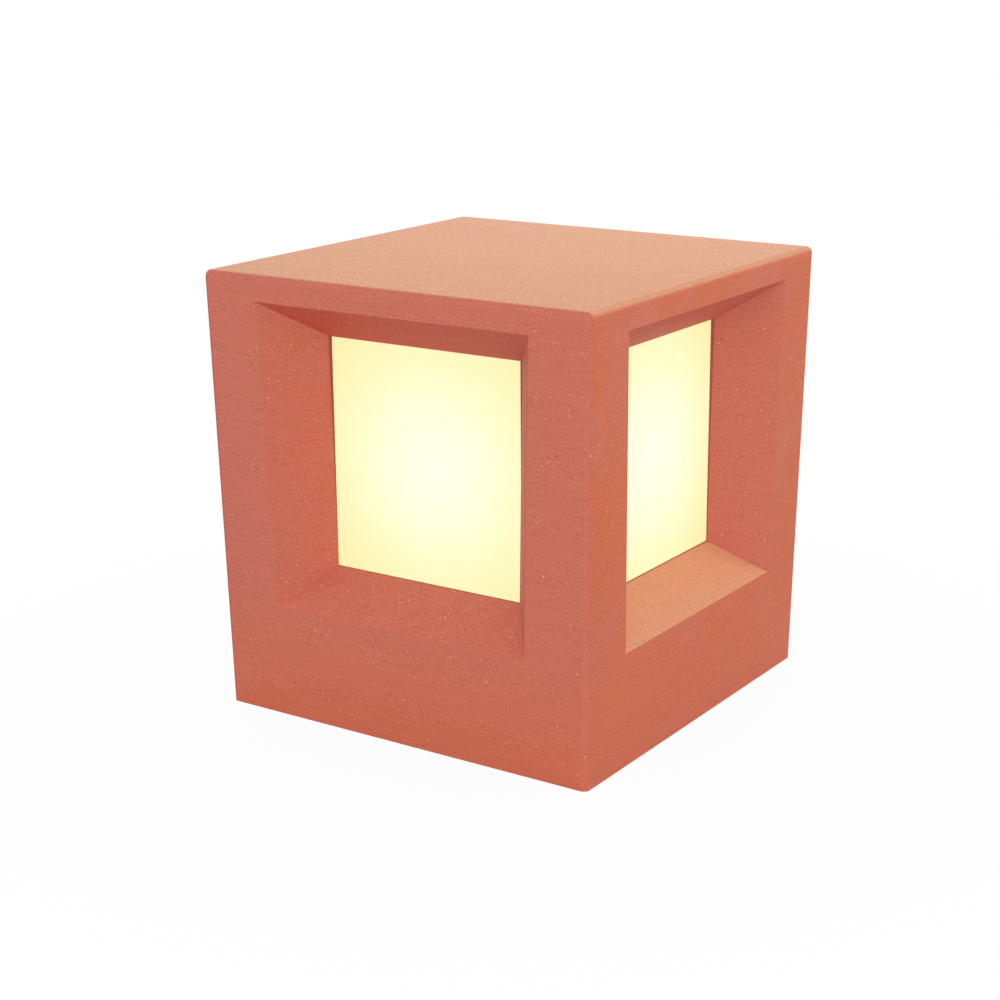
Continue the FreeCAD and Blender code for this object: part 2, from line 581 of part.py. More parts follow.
# ---------------------------------------------------------------- opal sleeve
# Moulded opal sleeve, closed on top. Its foot flange is screwed to the tray in the middle of each side.
sleeve_outside = round_slab("sleeve_outside", SLEEVE_HALF, TRAY_TOP, SLEEVE_TOP, "sleeve_radius")
flange = round_slab("sleeve_foot_flange", f"({SLEEVE_HALF} + sleeve_flange)", TRAY_TOP, FLANGE_TOP,
                    "sleeve_radius + sleeve_flange")
sleeve_inside = round_slab("sleeve_inside", f"({SLEEVE_HALF} - opal)", f"({TRAY_TOP} - through)",
                           f"({SLEEVE_TOP} - opal)", "sleeve_radius - opal")
flange_eyes = on_each_side("flange_eyes", hole("flange_eye", "0", "-1 * " + FLANGE_SCREW, TRAY_TOP,
                                               "small_shank + eye_play", "opal"))
corner_notches = four_holes("sleeve_notch", STANDOFF, STANDOFF, TRAY_TOP, "bolt_head + notch_play",
                            "bolt_rise")
diffuser_sleeve = cut("diffuser_sleeve", fuse("sleeve_solid", [sleeve_outside, flange]),
                      [sleeve_inside, flange_eyes] + corner_notches)
sleeve_screws = on_each_side("sleeve_screws", screw(
    "sleeve_screw", "0", "-1 * " + FLANGE_SCREW, FLANGE_TOP, "opal + tray", DOWN, "small"))

# A flat ring between each reveal and the sleeve keeps the rain out.
gasket_frame = block("window_gasket_sheet", "-1 * (pane_half + gasket_rim)", "-1 * " + PANE_PLANE,
                     "pane_sill - gasket_rim", "2 * (pane_half + gasket_rim)", "window_gasket",
                     f"{PANE_HEAD} - pane_sill + 2 * gasket_rim")
gasket_light = block("window_gasket_light", "-1 * pane_half", f"-1 * {PANE_PLANE} - through", "pane_sill",
                     "2 * pane_half", "window_gasket + 2 * through", f"{PANE_HEAD} - pane_sill")
window_gaskets = on_each_side("window_gaskets", cut("window_gasket_front", gasket_frame, [gasket_light]))

# ---------------------------------------------------------------- light source
# Extruded aluminium column with a screw port in each corner, standing on the tray.
COLUMN_HEIGHT = f"({COLUMN_TOP} - {TRAY_TOP})"
column_outside = slab("column_outside", "column_half", TRAY_TOP, COLUMN_TOP)
column_inside = slab("column_inside", "(column_half - column_wall)", TRAY_TOP, COLUMN_TOP)
ports = four_rods("port", PORT, PORT, TRAY_TOP, "port_radius", COLUMN_HEIGHT)
port_bores = four_holes("port_bore", PORT, PORT, TRAY_TOP, "port_hole", COLUMN_HEIGHT)
column_tube = cut("column_tube", column_outside, [column_inside])
led_column = cut("led_column", fuse("column_profile", [column_tube] + ports), port_bores)


def column_screw(name, x, y):
    """Screw up through the tray into a port of the column."""
    shank = rod(name + "_shank", x, y, TRAY_FOOT, "port_hole - tap_play", "column_screw")
    head = rod(name + "_head", x, y, TRAY_FOOT, "small_head", "small_rise", DOWN)
    return fuse(name, [shank, head])


column_screws = group("column_screws", at_corners("column_screw", PORT, PORT, column_screw))
cap_plug = slab("cap_plug", "(column_half - column_wall - play)", f"({COLUMN_TOP} - cap_depth)", COLUMN_TOP)
cap_reliefs = four_rods("cap_relief", PORT, PORT, f"{COLUMN_TOP} - cap_depth - through",
                        "port_radius + 2 * play", "cap_depth + through")
column_cap = fuse("column_cap", [slab("cap_top", BOARD_FACE, COLUMN_TOP, f"({COLUMN_TOP} + cap)"),
                                 cut("cap_plug_round_ports", cap_plug, cap_reliefs)])

# A board on each side of the column carries two lines of chips and a small connector, and is held by two
# screws.
SIDES = (("front", 0), ("right", 90), ("back", 180), ("left", 270))
BOARD_SCREWS = [f"{BOARD_FOOT} + {BOARD_LENGTH} * {third} / 3" for third in (1, 2)]
boards = []
for side, turn in SIDES:
    board_sheet = block("board_sheet_" + side, "-1 * board_half", "-1 * " + BOARD_FACE, BOARD_FOOT,
                        "2 * board_half", "board", BOARD_LENGTH)
    eyes = [rod("board_eye_%s_%d" % (side, number), "0", "through - column_half", rise,
                "small_shank + eye_play", "board + 2 * through", OUTWARDS)
            for number, rise in enumerate(BOARD_SCREWS)]
    board = cut("led_board_" + side, board_sheet, eyes)
    board.Placement.Rotation = FreeCAD.Rotation(V(0, 0, 1), turn)
    boards.append(board)

CHIP_ROWS = 9
CHIP_FOOT = f"{BOARD_FOOT} + chip_margin - chip / 2"
CHIP_SPAN = f"({BOARD_LENGTH} - 2 * chip_margin)"
chips = []
for number in range(CHIP_ROWS):
    for name, sign in (("left", "-1 * "), ("right", "")):
        chips.append(block("chip_%s_%d" % (name, number), sign + "chip_reach - chip / 2",
                           f"-1 * ({BOARD_FACE} + chip_thickness)",
                           f"{CHIP_FOOT} + {CHIP_SPAN} * {number} / {CHIP_ROWS - 1}",
                           "chip", "chip_thickness", "chip"))
led_chips = on_each_side("led_chips", group("front_chips", chips))


def board_screw(number, rise):
    """Flat-headed screw through a board."""
    name = "board_screw_%d" % number
    shank = rod(name + "_shank", "0", "-1 * " + BOARD_FACE, rise, "small_shank", "board", INWARDS)
    head = rod(name + "_head", "0", "-1 * " + BOARD_FACE, rise, "small_head", "small_rise", OUTWARDS)
    return fuse(name, [shank, head])


board_screws = on_each_side("board_screws", group("front_board_screws", [
    board_screw(number, rise) for number, rise in enumerate(BOARD_SCREWS)]))
board_connectors = on_each_side("board_connectors", block(
    "front_connector", "-1 * connector_half", f"-1 * ({BOARD_FACE} + connector)", CONNECTOR_FOOT,
    "2 * connector_half", "connector", "connector_height"))

# ---------------------------------------------------------------- driver
# Moulded case with two feet, and a lid that drops onto it.
CASE_X = "-1 * driver_length / 2 + driver_foot"
CASE_Y = f"-1 * ({DRIVER_PLACE} + driver_width / 2)"
driver_outside = block("driver_outside", CASE_X, CASE_Y, PLATE_TOP, "driver_length - 2 * driver_foot",
                       "driver_width", "driver_height")
driver_inside = block("driver_inside", CASE_X + " + driver_wall", CASE_Y + " + driver_wall",
                      PLATE_TOP + " + driver_wall", "driver_length - 2 * (driver_foot + driver_wall)",
                      "driver_width - 2 * driver_wall", "driver_height")
driver_feet = block("driver_feet", "-1 * driver_length / 2", f"-1 * ({DRIVER_PLACE} + driver_foot)",
                    PLATE_TOP, "driver_length", "2 * driver_foot", "driver_sole")
driver_eyes = [hole("driver_eye_%d" % number, x, "-1 * " + DRIVER_PLACE, PLATE_TOP, "bolt_shank + hole_play",
                    "driver_sole")
               for number, x in enumerate(DRIVER_EYES)]
driver_case = cut("driver_case", fuse("driver_solid", [driver_outside, driver_feet]),
                  [driver_inside] + driver_eyes)
driver_lid = fuse("driver_lid", [
    block("lid_sheet", CASE_X, CASE_Y, PLATE_TOP + " + driver_height", "driver_length - 2 * driver_foot",
          "driver_width", "driver_lid"),
    block("lid_step_solid", CASE_X + " + driver_wall + play", CASE_Y + " + driver_wall + play",
          PLATE_TOP + " + driver_height - lid_step", "driver_length - 2 * (driver_foot + driver_wall + play)",
          "driver_width - 2 * (driver_wall + play)", "lid_step")])
driver_screws = group("driver_screws", [
    screw("driver_screw_%d" % number, x, "-1 * " + DRIVER_PLACE, PLATE_TOP + " + driver_sole",
          "driver_sole + driver_bite", DOWN)
    for number, x in enumerate(DRIVER_EYES)])

# ---------------------------------------------------------------- mains wiring
# Terminal block with three poles, open in front for the leads and above for its screws.
POLES = [f"block_x + (2 * {pole} + 1) * block_pole / 2" for pole in range(3)]
BLOCK_TOP = f"{PLATE_TOP} + block_height"
block_body = block("terminal_solid", "block_x", "block_y", PLATE_TOP, "3 * block_pole", "block_width",
                   "block_height")
screw_wells = [rod("screw_well_%d" % pole, x, "block_y + block_width / 2", BLOCK_TOP + " - well_depth",
                   "small_head + play / 2", "well_depth + through") for pole, x in enumerate(POLES)]
lead_wells = [rod("lead_well_%d" % pole, x, "block_y - through", PLATE_TOP + " + well_rise",
                  "lead_radius + play", "lead_well + through", INWARDS)
              for pole, x in enumerate(POLES)]
terminal_block = cut("terminal_block", block_body, screw_wells + lead_wells)
terminal_screws = group("terminal_screws", [
    rod("terminal_screw_%d" % pole, x, "block_y + block_width / 2", BLOCK_TOP + " - well_depth", "small_head",
        "terminal_screw")
    for pole, x in enumerate(POLES)])

# Earth stud with a washer, the tag of the earth lead and a nut, one on top of the other.
TAG_FOOT = f"({PLATE_TOP} + washer)"
NUT_FOOT = f"({TAG_FOOT} + tag)"
earth_stud = rod("earth_stud", "earth_x", "earth_y", PLATE_TOP, "stud_radius", "stud_length")
earth_space = rod("earth_space", "earth_x", "earth_y", PLATE_TOP, "stud_radius + tap_play", "stud_length")
earth_disc = rod("earth_disc", "earth_x", "earth_y", PLATE_TOP, "earth_reach", "washer")
earth_washer = cut("earth_washer", earth_disc, [earth_space])
tag_eye = rod("earth_tag_eye", "earth_x", "earth_y", TAG_FOOT, "earth_reach", "tag")
tag_arm = block("earth_tag_arm", "earth_x - tag_length", "earth_y - tag_half", TAG_FOOT, "tag_length",
                "2 * tag_half", "tag")
earth_tag = cut("earth_tag", fuse("earth_tag_solid", [tag_eye, tag_arm]), [earth_space])
earth_bar = hexagon("earth_nut_bar", "earth_x", "earth_y", NUT_FOOT, "earth_reach", "earth_nut")
earth_nut = cut("earth_nut", earth_bar, [earth_space])


def lead(points):
    """Round lead along straight runs that are joined by bends."""
    points = [V(*point) for point in points]
    bend = size("lead_bend")
    edges = []
    start = points[0]
    for before, corner, after in zip(points, points[1:], points[2:]):
        into = (corner - before).normalize()
        out = (after - corner).normalize()
        half = into.getAngle(out) / 2
        first = corner - into * bend * math.tan(half)
        last = corner + out * bend * math.tan(half)
        middle = corner + (out - into).normalize() * (bend / math.cos(half) - bend)
        edges.append(Part.LineSegment(start, first).toShape())
        edges.append(Part.Arc(first, middle, last).toShape())
        start = last
    edges.append(Part.LineSegment(start, points[-1]).toShape())
    section = Part.Wire(Part.Circle(points[0], points[1] - points[0], size("lead_radius")).toShape())
    return Part.Wire(edges).makePipeShell([section], True, False)


def leads(name, routes):
    """A bundle of separate leads in one node."""
    piece = doc.addObject("Part::Feature", name)
    piece.Shape = Part.makeCompound([lead(route) for route in routes])
    return piece


DRIVER_BACK = value(f"driver_width / 2 - {DRIVER_PLACE}")
BLOCK_Y = size("block_y")
RUN = size("lead_run")
WELL = value(PLATE_TOP + " + well_rise")
INLET = value(PLATE_TOP + " + inlet_rise")

# Mains leads bow gently from the terminal block to the back of the driver.
routes = []
for pole in range(2):
    start_x = value(POLES[pole])
    end_x = size("inlet_x") + pole * size("inlet_pitch")
    routes.append([(start_x, BLOCK_Y, WELL), (start_x, BLOCK_Y - RUN, WELL),
                   (end_x, DRIVER_BACK + RUN, INLET), (end_x, DRIVER_BACK, INLET)])
mains_leads = leads("mains_leads", routes)

# Low-voltage leads rise from the driver's lid through the tray to the front board.
feed_leads = group("feed_leads", [
    rod("feed_lead_" + name, sign + "lead_pitch / 2", "-1 * " + LEAD_REACH, DRIVER_TOP, "lead_radius",
        f"{CONNECTOR_FOOT} - {DRIVER_TOP}")
    for name, sign in (("left", "-1 * "), ("right", ""))])

# Each board is linked to the next one round the column's corner.
REACH = value(LEAD_REACH)
LINK_Z = value(f"{CONNECTOR_FOOT} + connector_height / 2")
LINK_X = size("connector_half")
link = leads("front_link", [[(LINK_X, -REACH, LINK_Z), (REACH, -REACH, LINK_Z), (REACH, -LINK_X, LINK_Z)]])
link_leads = on_each_side("link_leads", link, (0, 90, 180))

# The earth lead runs from the third pole to the tag's arm.
LEAD_ON_TAG = value(NUT_FOOT + " + lead_radius")
ARM_END = value("earth_x - tag_length")
NUT_SIDE = value("earth_x - earth_reach - play")
POLE_X = value(POLES[2])
EARTH_Y = size("earth_y")
earth_lead = leads("earth_lead", [[(POLE_X, BLOCK_Y, WELL), (POLE_X, BLOCK_Y - RUN, WELL),
                                   (ARM_END, EARTH_Y, LEAD_ON_TAG), (NUT_SIDE, EARTH_Y, LEAD_ON_TAG)]])

KEPT = (
    housing, base_plate, base_gasket, base_screws, gland_body, gland_nut, gland_seal, gland_locknut,
    vent_plug, vent_nut, tray_standoffs, gear_tray, tray_screws, diffuser_sleeve, sleeve_screws,
    window_gaskets, led_column, column_screws, column_cap, led_chips, board_screws, board_connectors,
    driver_case, driver_lid, driver_screws, terminal_block, terminal_screws, earth_stud, earth_nut,
    earth_tag, earth_washer, earth_lead, mains_leads, feed_leads, link_leads, *boards)

# ---------------------------------------------------------------- check and write
doc.recompute()
for thing in doc.Objects:
    if "Invalid" in thing.State or "Error" in thing.State:
        raise RuntimeError("%s did not build: %s" % (thing.Label, thing.State))

os.makedirs("parts", exist_ok=True)
for piece in KEPT:
    shape = piece.Shape
    if shape.isNull() or not shape.isValid() or not shape.Solids:
        raise RuntimeError("%s has no sound solid" % piece.Label)
    print("%-20s %3d solids %10.1f mm3 %s" % (piece.Label, len(shape.Solids), shape.Volume, shape.BoundBox))
    shape.exportStep("parts/%s.step" % piece.Label)
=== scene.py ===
import bmesh
import bpy
import math
from mathutils import Matrix, Vector


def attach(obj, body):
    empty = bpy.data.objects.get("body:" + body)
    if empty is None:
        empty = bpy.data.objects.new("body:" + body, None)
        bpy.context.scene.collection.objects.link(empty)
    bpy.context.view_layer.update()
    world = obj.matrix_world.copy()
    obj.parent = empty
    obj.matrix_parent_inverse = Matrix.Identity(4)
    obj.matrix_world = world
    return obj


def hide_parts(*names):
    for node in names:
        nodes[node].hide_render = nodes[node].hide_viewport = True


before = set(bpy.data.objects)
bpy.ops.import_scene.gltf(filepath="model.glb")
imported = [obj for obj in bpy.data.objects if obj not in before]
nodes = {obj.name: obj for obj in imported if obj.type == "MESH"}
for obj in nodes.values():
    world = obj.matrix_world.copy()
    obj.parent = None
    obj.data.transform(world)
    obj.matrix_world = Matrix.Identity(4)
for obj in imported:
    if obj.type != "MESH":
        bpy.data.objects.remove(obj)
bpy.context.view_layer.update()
scene = bpy.context.scene

# ------------------------------------------------------------------ viewpoint
# The cube is looked at from slightly above, with its front edge a little right of the middle. Lens and
# place, in metres and in pixels of the picture, follow from the perspective of the cube's corners.
AZIMUTH = math.radians(33.877)
ELEVATION = math.radians(15.963)
ROLL = math.radians(-0.417)
AIM = Vector((0, 0, 0.1))
DISTANCE = 0.9307
ASIDE = (0.00851, 0.01086)
FOCAL_PIXELS = 1993.3
PICTURE_PIXELS = 1000
FILM = 36.0
NEAREST_SEEN = 0.01

forward = Vector((-math.sin(AZIMUTH) * math.cos(ELEVATION), math.cos(AZIMUTH) * math.cos(ELEVATION),
                  -math.sin(ELEVATION)))
level_right = forward.cross(Vector((0, 0, 1))).normalized()
level_up = level_right.cross(forward)
right = level_right * math.cos(ROLL) + level_up * math.sin(ROLL)
up = level_up * math.cos(ROLL) - level_right * math.sin(ROLL)
viewpoint = AIM - right * ASIDE[0] - up * ASIDE[1] - forward * DISTANCE

camera = bpy.data.objects.new("camera", bpy.data.cameras.new("camera"))
camera.data.sensor_width = FILM
camera.data.lens = FOCAL_PIXELS * FILM / PICTURE_PIXELS
camera.data.clip_start = NEAREST_SEEN
camera.matrix_world = Matrix.Translation(viewpoint) @ Matrix((right, up, -forward)).transposed().to_4x4()
scene.collection.objects.link(camera)
scene.camera = camera
scene.view_settings.view_transform = "Standard"

# ------------------------------------------------------------------ housing
# Aluminium pressure die casting, one piece, with four splayed window reveals. It is powder coated in a
# matte terracotta and rubbed back by hand. The thick coat rounds off every cast edge.
MM = 0.001

# Direction of painted light: what faces it is drawn paler, a painted highlight, and what faces away a deeper
# red, a painted shade.
PAINTED_LIGHT_FROM = (0.35, 0.35, 0.87)
# Painted warm light: faces toward +X and +Y are drawn warmer and more orange, by this share over the real
# clouds.
PAINTED_WARM_LIGHT_FROM = (0.7, 0.7, 0.0)
PAINTED_WARM_LIGHT_SHARE = 0.4
RUBBED_ALONG = math.radians(-34)
CLOUD = 40 * MM
GRIT = 0.42 * MM
SPECK_SPACING = 3.2 * MM
ORANGE_PEEL = 0.12 * MM


def linear(text):
    """sRGB hex to the linear colour that a shader takes."""
    parts = [int(text[place:place + 2], 16) / 255 for place in (1, 3, 5)]
    return tuple(part / 12.92 if part <= 0.04045 else ((part + 0.055) / 1.055) ** 2.4
                 for part in parts) + (1,)


def add(tree, kind, sockets=None, **settings):
    """Add a node with its settings; a socket takes a value or another node's output."""
    node = tree.nodes.new("ShaderNode" + kind)
    for name, setting in settings.items():
        setattr(node, name, setting)
    for name, given in (sockets or {}).items():
        if isinstance(given, bpy.types.NodeSocket):
            tree.links.new(given, node.inputs[name])
        else:
            node.inputs[name].default_value = given
    return node


def material(name, **sockets):
    """A material with one Principled shader, whose even values are set on its own sockets."""
    made = bpy.data.materials.new(name)
    made.use_nodes = True
    made.node_tree.nodes.clear()
    values = {key.replace("_", " "): value for key, value in sockets.items()}
    shader = add(made.node_tree, "BsdfPrincipled", values)
    add(made.node_tree, "OutputMaterial", {"Surface": shader.outputs[0]})
    return made, made.node_tree, shader


def rub_marks(tree, place, turn, along, across, depth):
    """Noise drawn out into marks: their sizes are given along X, Y and Z after a turn about Z."""
    turned = add(tree, "Mapping", {"Vector": place, "Rotation": (0, 0, turn)})
    drawn = add(tree, "Mapping", {"Vector": turned.outputs[0], "Scale": (1 / along, 1 / across, 1 / depth)})
    return add(tree, "TexNoise", {"Vector": drawn.outputs[0], "Scale": 1.0, "Detail": 3.0,
                                  "Roughness": 0.6}).outputs["Fac"]


def terracotta_powder_coat():
    """Matte polyester powder coat, sprayed and baked: no clear reflection, a fine grit and soft clouds.

    What faces up, toward the painted light, is drawn paler: a painted highlight. The faces toward +X and +Y
    are drawn warmer and more orange, a painted warm light, and towards the floor the coat is drawn lighter,
    also painted light.
    Under the lintels it is drawn a deeper red: a painted shade. The real grit is under 0.1 mm and is drawn
    four times as coarse, so that it shows.
    """
    coat, tree, shader = material("terracotta_powder_coat", Roughness=0.66, IOR=1.45, Sheen_Weight=0.05,
                                  Sheen_Roughness=0.6)
    place = add(tree, "TexCoord").outputs["Object"]
    height = add(tree, "SeparateXYZ", {0: place}).outputs["Z"]
    normal = add(tree, "NewGeometry").outputs["True Normal"]
    upward = add(tree, "SeparateXYZ", {0: normal}).outputs["Z"]
    lying = add(tree, "MapRange", {"Value": upward, "From Min": 0.5, "From Max": 0.9}).outputs[0]
    # How far each face turns toward the painted light, for the painted highlight and the painted shade.
    facing_painted_light = add(tree, "VectorMath", {0: normal, 1: PAINTED_LIGHT_FROM}, operation="DOT_PRODUCT").outputs["Value"]
    # How far each face turns toward +X and +Y, for the painted warm light.
    facing_warm_light = add(tree, "VectorMath", {0: normal, 1: PAINTED_WARM_LIGHT_FROM}, operation="DOT_PRODUCT").outputs["Value"]
    clouds = add(tree, "TexNoise", {"Vector": place, "Scale": 1 / CLOUD, "Detail": 3.0,
                                    "Roughness": 0.6}).outputs["Fac"]
    # The painted warm light, mixed with the coat's real soft clouds.
    warm_light_and_clouds = add(tree, "Math", {0: facing_warm_light, 1: PAINTED_WARM_LIGHT_SHARE, 2: clouds},
                operation="MULTIPLY_ADD").outputs[0]

    upright_marks = rub_marks(tree, place, 0.0, 18 * MM, 18 * MM, 0.7 * MM)
    lying_marks = rub_marks(tree, place, RUBBED_ALONG, 20 * MM, 2.2 * MM, 20 * MM)
    rubbing = add(tree, "Mix", {0: lying, 2: upright_marks, 3: lying_marks}, data_type="FLOAT").outputs[0]
    upright_grit = add(tree, "TexNoise", {"Vector": place, "Scale": 1 / GRIT, "Detail": 1.0}).outputs["Fac"]
    lying_grit = rub_marks(tree, place, RUBBED_ALONG, 0.8 * MM, 2.2 * MM, 0.6 * MM)
    grit = add(tree, "Mix", {0: lying, 2: upright_grit, 3: lying_grit}, data_type="FLOAT").outputs[0]

    # Each tone lies over the ones before it: what it follows, where it starts, where it is full, its most.
    tone = linear("#cf6a57")
    for follows, starts, full, most, colour in (
            # painted warm light on the faces toward +X and +Y, over the coat's real clouds
            (warm_light_and_clouds, 0.58, 0.85, 1.0, "#d36234"),
            # painted light: the coat is drawn lighter and more orange towards the floor, below 60 mm
            (height, 60 * MM, 0.0, 1.0, "#d96a4a"),
            # painted shade: a deeper red where a face turns down, under the lintels
            (facing_painted_light, -0.38, -0.55, 1.0, "#c73a29"),
            # painted highlight: paler where a face turns up toward the painted light
            (facing_painted_light, 0.60, 0.85, 1.0, "#e29a72"),
            (grit, 0.46, 0.70, 0.30, "#eaa790"),
            (grit, 0.54, 0.30, 0.30, "#a9503c")):
        share = add(tree, "MapRange", {"Value": follows, "From Min": starts, "From Max": full,
                                       "To Max": most}).outputs[0]
        tone = add(tree, "Mix", {0: share, 6: tone, 7: linear(colour)}, data_type="RGBA").outputs[2]
    shade = add(tree, "MapRange", {"Value": rubbing, "From Min": 0.34, "From Max": 0.66,
                                   "To Min": 0.95, "To Max": 1.05}).outputs[0]
    tone = add(tree, "VectorMath", {0: tone, "Scale": shade}, operation="SCALE").outputs[0]

    # A few cells hold a speck: a light one of bare filler or a dark one of overbaked powder.
    cells = add(tree, "TexVoronoi", {"Vector": place, "Scale": 1 / SPECK_SPACING})
    chance = add(tree, "SeparateColor", {0: cells.outputs["Color"]}).outputs[0]
    dot = add(tree, "MapRange", {"Value": cells.outputs["Distance"], "From Min": 0.13,
                                 "From Max": 0.08}).outputs[0]
    for starts, full, most, colour in ((0.78, 0.80, 0.8, "#f0c48e"), (0.05, 0.04, 0.7, "#6e3526")):
        chosen = add(tree, "MapRange", {"Value": chance, "From Min": starts, "From Max": full,
                                        "To Max": most}).outputs[0]
        speck = add(tree, "Math", {0: dot, 1: chosen}, operation="MULTIPLY").outputs[0]
        tone = add(tree, "Mix", {0: speck, 6: tone, 7: linear(colour)}, data_type="RGBA").outputs[2]
    tree.links.new(tone, shader.inputs["Base Color"])

    relief = add(tree, "Math", {0: grit, 1: rubbing}, operation="ADD").outputs[0]
    bump = add(tree, "Bump", {"Strength": 0.3, "Distance": ORANGE_PEEL, "Height": relief}).outputs[0]
    tree.links.new(bump, shader.inputs["Normal"])
    return coat


COAT_EDGE = 0.7 * MM
EDGE_STEPS = 3
SHARP = math.radians(24)
SAME_PLACE = 0.001 * MM
SAME_PLANE = math.radians(0.4)


def coated_copy(node_name, coat):
    """The casting with its coplanar facets joined, and a thick coat's rounding on every edge."""
    mesh = nodes[node_name].data.copy()
    work = bmesh.new()
    work.from_mesh(mesh)
    bmesh.ops.remove_doubles(work, verts=work.verts, dist=SAME_PLACE)
    bmesh.ops.dissolve_limit(work, angle_limit=SAME_PLANE, verts=work.verts, edges=work.edges)
    work.to_mesh(mesh)
    work.free()
    mesh.materials.clear()
    mesh.materials.append(coat)
    for face in mesh.polygons:
        face.use_smooth = True
    piece = bpy.data.objects.new(node_name + "_coated", mesh)
    scene.collection.objects.link(piece)
    rounding = piece.modifiers.new("coat_edge", "BEVEL")
    rounding.width = COAT_EDGE
    rounding.segments = EDGE_STEPS
    rounding.limit_method = "ANGLE"
    rounding.angle_limit = SHARP
    rounding.harden_normals = True
    return piece


casting = coated_copy("housing", terracotta_powder_coat())
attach(casting, "root")
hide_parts("housing")

# ------------------------------------------------------------------ opal sleeve
# Injection-moulded opal polycarbonate, lit from inside and screwed to the gear tray by its foot flange. The
# light is nearly white where the source stands behind the wall and a warm cream in each window's corners.
SOURCE = (5 * MM, -1 * MM, 121 * MM)
GLOW = ((0.00, "#fefeec"), (0.25, "#fefedf"), (0.45, "#fefac8"), (0.72, "#fcf0ae"), (1.00, "#fae6a0"))
GLOW_REACH = 90 * MM
MELT_CLOUD = 9 * MM
MELT_CLOUDS = 0.10
OPAL_GRAIN = 0.5 * MM
OPAL_GRAINS = 0.16
MEAN_UNEVENNESS = 0.13
SATIN_GRAIN = 0.6 * MM
SATIN_DEPTH = 0.02 * MM


def lit_opal():
    """Moulded opal polycarbonate with a satin skin: a soft gloss over a glow that fades with distance.

    The melt's clouds make the glow a little uneven. The satin's real grain is too fine to show and is drawn
    about ten times as coarse.
    """
    opal, tree, shader = material("lit_opal_polycarbonate", Roughness=0.45, IOR=1.585,
                                  Base_Color=linear("#6e6852"), Emission_Strength=0.9)
    place = add(tree, "TexCoord").outputs["Object"]
    away = add(tree, "VectorMath", {0: place, 1: SOURCE}, operation="SUBTRACT").outputs[0]
    normal = add(tree, "NewGeometry").outputs["Normal"]
    straight = add(tree, "VectorMath", {0: away, 1: normal}, operation="DOT_PRODUCT").outputs["Value"]
    through = add(tree, "VectorMath", {0: normal, "Scale": straight}, operation="SCALE").outputs[0]
    aside = add(tree, "VectorMath", {0: away, 1: through}, operation="SUBTRACT").outputs[0]
    length = add(tree, "VectorMath", {0: aside}, operation="LENGTH").outputs["Value"]
    fading = add(tree, "Math", {0: length, 1: GLOW_REACH}, operation="DIVIDE").outputs[0]
    clouds = add(tree, "TexNoise", {"Vector": place, "Scale": 1 / MELT_CLOUD, "Detail": 4.0,
                                    "Roughness": 0.7}).outputs["Fac"]
    grains = add(tree, "TexNoise", {"Vector": place, "Scale": 1 / OPAL_GRAIN, "Detail": 1.0}).outputs["Fac"]
    for pattern, strength in ((clouds, MELT_CLOUDS), (grains, OPAL_GRAINS)):
        fading = add(tree, "Math", {0: pattern, 1: strength, 2: fading}, operation="MULTIPLY_ADD").outputs[0]
    fading = add(tree, "Math", {0: fading, 1: MEAN_UNEVENNESS}, operation="SUBTRACT").outputs[0]
    glow = add(tree, "ValToRGB", {"Fac": fading})
    glow.color_ramp.interpolation = "B_SPLINE"
    while len(glow.color_ramp.elements) < len(GLOW):
        glow.color_ramp.elements.new(0.5)
    for element, (position, tone) in zip(glow.color_ramp.elements, GLOW):
        element.position = position
        element.color = linear(tone)
    tree.links.new(glow.outputs["Color"], shader.inputs["Emission Color"])
    satin = add(tree, "TexNoise", {"Vector": place, "Scale": 1 / SATIN_GRAIN, "Detail": 1.0}).outputs["Fac"]
    bump = add(tree, "Bump", {"Strength": 0.1, "Distance": SATIN_DEPTH, "Height": satin}).outputs[0]
    tree.links.new(bump, shader.inputs["Normal"])
    return opal


def dress(finish, *pieces):
    """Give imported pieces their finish."""
    for piece in pieces:
        for slot in nodes[piece].material_slots:
            slot.material = finish


dress(lit_opal(), "diffuser_sleeve")

# ------------------------------------------------------------------ seals
# Flat rings between the windows and the sleeve, punched from red silicone strip, and the moulded silicone of
# the base ring and the gland's seal. Silicone rubber looks dull and even, with a faint skin.


def grained(name, tones, grain, depth, **sockets):
    """A finish of two close tones in a fine grain: grain and depth are real sizes in millimetres.

    The real grain of most of them is finer and is drawn as coarse as it needs to show.
    """
    made, tree, shader = material(name, **sockets)
    place = add(tree, "TexCoord").outputs["Object"]
    specks = add(tree, "TexNoise", {"Vector": place, "Scale": 1 / (grain * MM), "Detail": 3.0}).outputs["Fac"]
    ramp = add(tree, "ValToRGB", {"Fac": specks})
    for element, position, tone in zip(ramp.color_ramp.elements, (0.35, 0.65), tones):
        element.position = position
        element.color = linear(tone)
    tree.links.new(ramp.outputs["Color"], shader.inputs["Base Color"])
    bump = add(tree, "Bump", {"Strength": 0.3, "Distance": depth * MM, "Height": specks}).outputs[0]
    tree.links.new(bump, shader.inputs["Normal"])
    return made


red_strip = grained("red_silicone_strip", ("#a04c38", "#ab543e"), 0.8, 0.05, Roughness=0.7)
dress(red_strip, "window_gaskets")
dark_rubber = grained("moulded_silicone_rubber", ("#3a3836", "#454341"), 0.8, 0.05, Roughness=0.7)
dress(dark_rubber, "base_gasket", "gland_seal")

# ------------------------------------------------------------------ base plate and its screws
# Die-cast aluminium plate, left bare, that closes the housing from below with four stainless screws. The
# cast skin is a rough, dull grey; the turned screws are smoother and brighter.
cast_skin = grained("die_cast_aluminium", ("#9a9a9c", "#a9a9ab"), 1.6, 0.06, Metallic=1.0, Roughness=0.55)
dress(cast_skin, "base_plate")
stainless = grained("turned_stainless_steel", ("#a3a3a6", "#b4b4b7"), 0.6, 0.01, Metallic=1.0,
                    Roughness=0.32)
dress(stainless, "base_screws")

